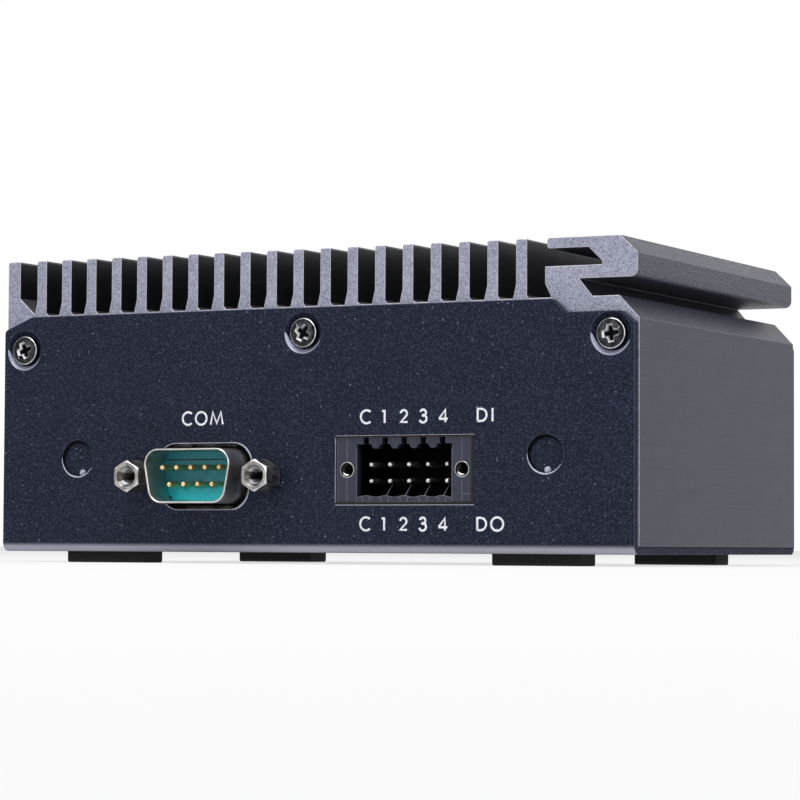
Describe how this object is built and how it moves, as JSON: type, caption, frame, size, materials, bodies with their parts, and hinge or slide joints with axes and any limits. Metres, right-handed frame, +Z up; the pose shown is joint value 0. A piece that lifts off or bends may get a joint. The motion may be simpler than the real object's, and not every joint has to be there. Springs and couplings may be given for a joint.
{
  "type": "fanless industrial pc",
  "caption": "Compact fanless industrial computer: finned aluminium housing over a folded steel chassis, with serial port, terminal header, network, video and power connectors.",
  "frame": {"origin": "on the floor under the middle of the overall box", "axes": "+Z up, -Y towards the side with the serial port and terminal header, +X to the right as that side is looked at"},
  "size_m": [0.1202, 0.08, 0.0526],
  "materials": {
    "anodised_aluminium": "dark anodised extrusion",
    "powder_coat": "fine sparkle powder coat",
    "black_screw": "black nickel",
    "zinc_steel": "zinc plated",
    "nickel": "bright nickel",
    "gold": "gold flash",
    "tin": "bright tin",
    "teal_plastic": "moulded",
    "header_plastic": "moulded, glass filled",
    "black_plastic": "moulded",
    "rubber": "matt",
    "circuit_board": "solder mask",
    "chip": "moulded package",
    "block_aluminium": "machined",
    "pad_grey": "silicone pad"
  },
  "bodies": {
    "chassis": {"heatsink_housing": "anodised_aluminium", "chassis_cover": "powder_coat", "front_panel_screws": "black_screw", "rear_panel_screws": "black_screw", "base_weld_nuts": "zinc_steel", "foot_front_left": "rubber", "foot_front_right": "rubber", "foot_rear_left": "rubber", "foot_rear_right": "rubber", "serial_shell": "nickel", "serial_insulator": "teal_plastic", "serial_pins": "gold", "serial_jack_screws": "nickel", "terminal_header": "header_plastic", "terminal_header_pins": "tin", "terminal_header_bushes": "nickel", "main_board": "circuit_board", "board_spacers": "zinc_steel", "board_screws": "zinc_steel", "processor": "chip", "thermal_pad": "pad_grey", "heat_block": "block_aluminium", "heat_block_screws": "zinc_steel", "memory_chips": "chip", "isolator_chips": "chip", "power_inductors": "chip", "capacitors": "block_aluminium", "cell_holder": "black_plastic", "clock_cell": "nickel", "drive_socket": "black_plastic", "drive_card": "circuit_board", "drive_post": "zinc_steel", "drive_screw": "zinc_steel", "network_jack_left": "nickel", "network_contacts_left": "gold", "network_jack_right": "nickel", "network_contacts_right": "gold", "usb_shell": "nickel", "usb_tongues": "black_plastic", "video_shell": "nickel", "video_tongue": "black_plastic", "power_jack": "black_plastic", "power_jack_pin": "nickel", "power_switch": "black_plastic"},
    "power_button": {"power_button": "black_plastic"}
  },
  "joints": [
    {"name": "power_button_press", "type": "slide", "parent": "chassis", "child": "power_button", "axis": [0, -1, 0], "range_m": [0, 0.0005], "stiffness_N_per_m": 400, "springref_m": -0.0005}
  ]
}
